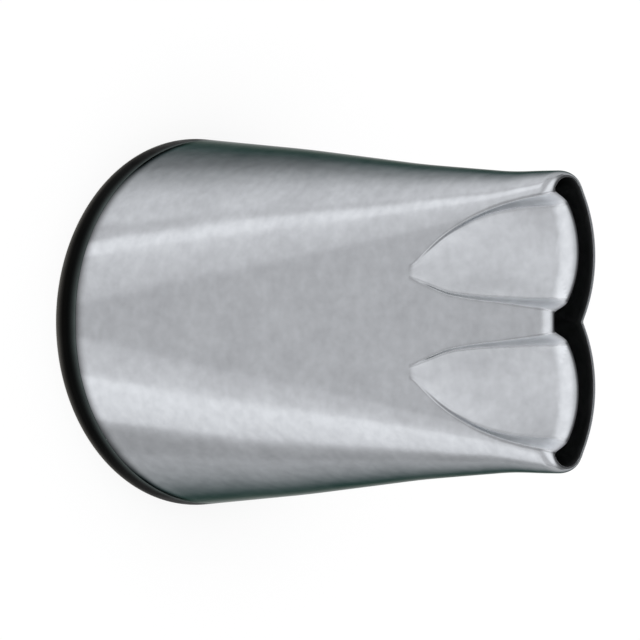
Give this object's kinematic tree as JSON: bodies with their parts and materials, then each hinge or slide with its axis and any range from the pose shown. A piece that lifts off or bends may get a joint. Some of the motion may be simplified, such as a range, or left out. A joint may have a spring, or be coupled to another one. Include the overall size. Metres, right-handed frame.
{
  "type": "piping nozzle",
  "caption": "Sheet-metal piping nozzle: a round open base drawn out and flattened to a wide slot, with two scalloped dents pressed in one side of the tip.",
  "frame": {"origin": "centre of the round base, on the plane that it stands on", "axes": "+Z along the nozzle towards the tip, X along the slot, the dented flank faces -Y and the lobed flank +Y"},
  "size_m": [0.025, 0.025, 0.0385],
  "materials": {
    "shell_steel": "satin polished, soft broad highlights",
    "seam_metal": "dressed flush, slightly duller than the sheet",
    "ring_steel": "blackened steel, smooth semi-gloss"
  },
  "bodies": {
    "root": {"nozzle_shell": "shell_steel", "seam_bead": "seam_metal", "base_ring": "ring_steel"}
  },
  "joints": []
}
